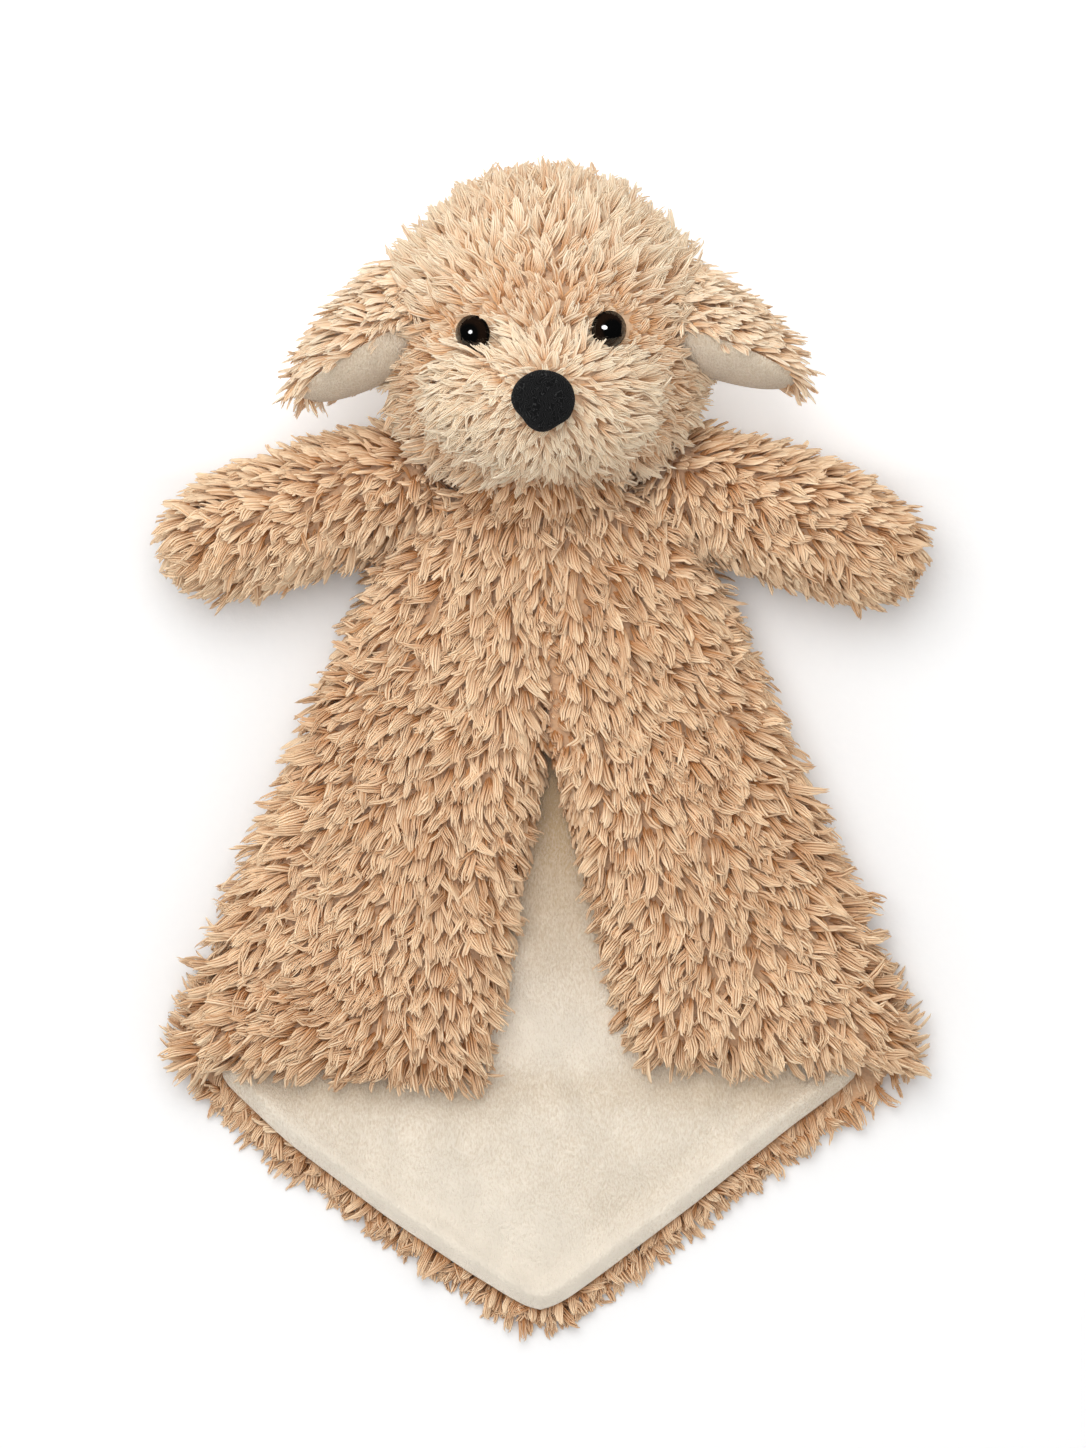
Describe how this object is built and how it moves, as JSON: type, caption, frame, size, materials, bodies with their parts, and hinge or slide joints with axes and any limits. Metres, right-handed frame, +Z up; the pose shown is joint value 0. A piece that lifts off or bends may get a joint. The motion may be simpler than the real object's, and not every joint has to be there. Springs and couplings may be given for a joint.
{
  "type": "comfort blanket lovey",
  "caption": "Plush puppy comfort blanket with a stuffed head, stuffed arms and a folded, lined blanket body.",
  "frame": {"origin": "on the surface that the toy lies on, under the middle of its length and width", "axes": "+Y to the top of the head, +Z up out of the face, +X to the right as the face is seen; names with left are on the -X side"},
  "size_m": [0.2446, 0.369, 0.0972],
  "materials": {
    "plush": "long shaggy pile",
    "head_plush": "long shaggy pile",
    "lining": "short smooth nap",
    "stuffing": "loose fibre filling",
    "nose_felt": "matted felt",
    "eye": "high gloss",
    "washer": "moulded"
  },
  "bodies": {
    "blanket": {"blanket_plush": "plush", "blanket_lining": "lining"},
    "flap_left": {"flap_left_plush": "plush", "flap_left_lining": "lining"},
    "flap_right": {"flap_right_plush": "plush", "flap_right_lining": "lining"},
    "tail": {"tail_plush": "plush", "tail_lining": "lining"},
    "neck": {"neck_gather": "plush"},
    "head": {"head_cover": "head_plush", "head_stuffing": "stuffing", "muzzle_cover": "head_plush", "muzzle_stuffing": "stuffing", "nose": "nose_felt", "eye_left": "eye", "eye_right": "eye", "eye_washer_left": "washer", "eye_washer_right": "washer"},
    "ear_left": {"ear_left_plush": "head_plush", "ear_left_lining": "lining"},
    "ear_right": {"ear_right_plush": "head_plush", "ear_right_lining": "lining"},
    "arm_left": {"arm_left_cover": "plush", "arm_left_stuffing": "stuffing"},
    "arm_right": {"arm_right_cover": "plush", "arm_right_stuffing": "stuffing"}
  },
  "joints": [
    {"name": "head_turn", "type": "hinge", "parent": "blanket", "child": "neck", "pos_m": [0, 0.0785, 0.029], "axis": [0, 1, 0], "range_deg": [-25, 25]},
    {"name": "head_nod", "type": "hinge", "parent": "neck", "child": "head", "pos_m": [0, 0.0835, 0.05], "axis": [1, 0, 0], "range_deg": [0, 25]},
    {"name": "ear_left_lift", "type": "hinge", "parent": "head", "child": "ear_left", "pos_m": [-0.0445, 0.157, 0.044], "axis": [0, 0, -1], "range_deg": [0, 45]},
    {"name": "ear_right_lift", "type": "hinge", "parent": "head", "child": "ear_right", "pos_m": [0.0445, 0.157, 0.044], "axis": [0, 0, 1], "range_deg": [0, 45]},
    {"name": "arm_left_lift", "type": "hinge", "parent": "blanket", "child": "arm_left", "pos_m": [-0.041, 0.0855, 0.03], "axis": [-0.2756, 0.9613, 0], "range_deg": [0, 40]},
    {"name": "arm_right_lift", "type": "hinge", "parent": "blanket", "child": "arm_right", "pos_m": [0.041, 0.0855, 0.03], "axis": [-0.2756, -0.9613, 0], "range_deg": [0, 40]},
    {"name": "flap_left_open", "type": "hinge", "parent": "blanket", "child": "flap_left", "pos_m": [0, 0.0005, 0.033], "axis": [-0.7484, -0.6625, -0.0307], "range_deg": [0, 150]},
    {"name": "flap_right_open", "type": "hinge", "parent": "blanket", "child": "flap_right", "pos_m": [0, 0.0005, 0.033], "axis": [-0.7484, 0.6625, 0.0307], "range_deg": [0, 150]},
    {"name": "tail_fold", "type": "hinge", "parent": "blanket", "child": "tail", "pos_m": [0, -0.1155, 0.01], "axis": [-1, 0, 0], "range_deg": [0, 80]}
  ]
}
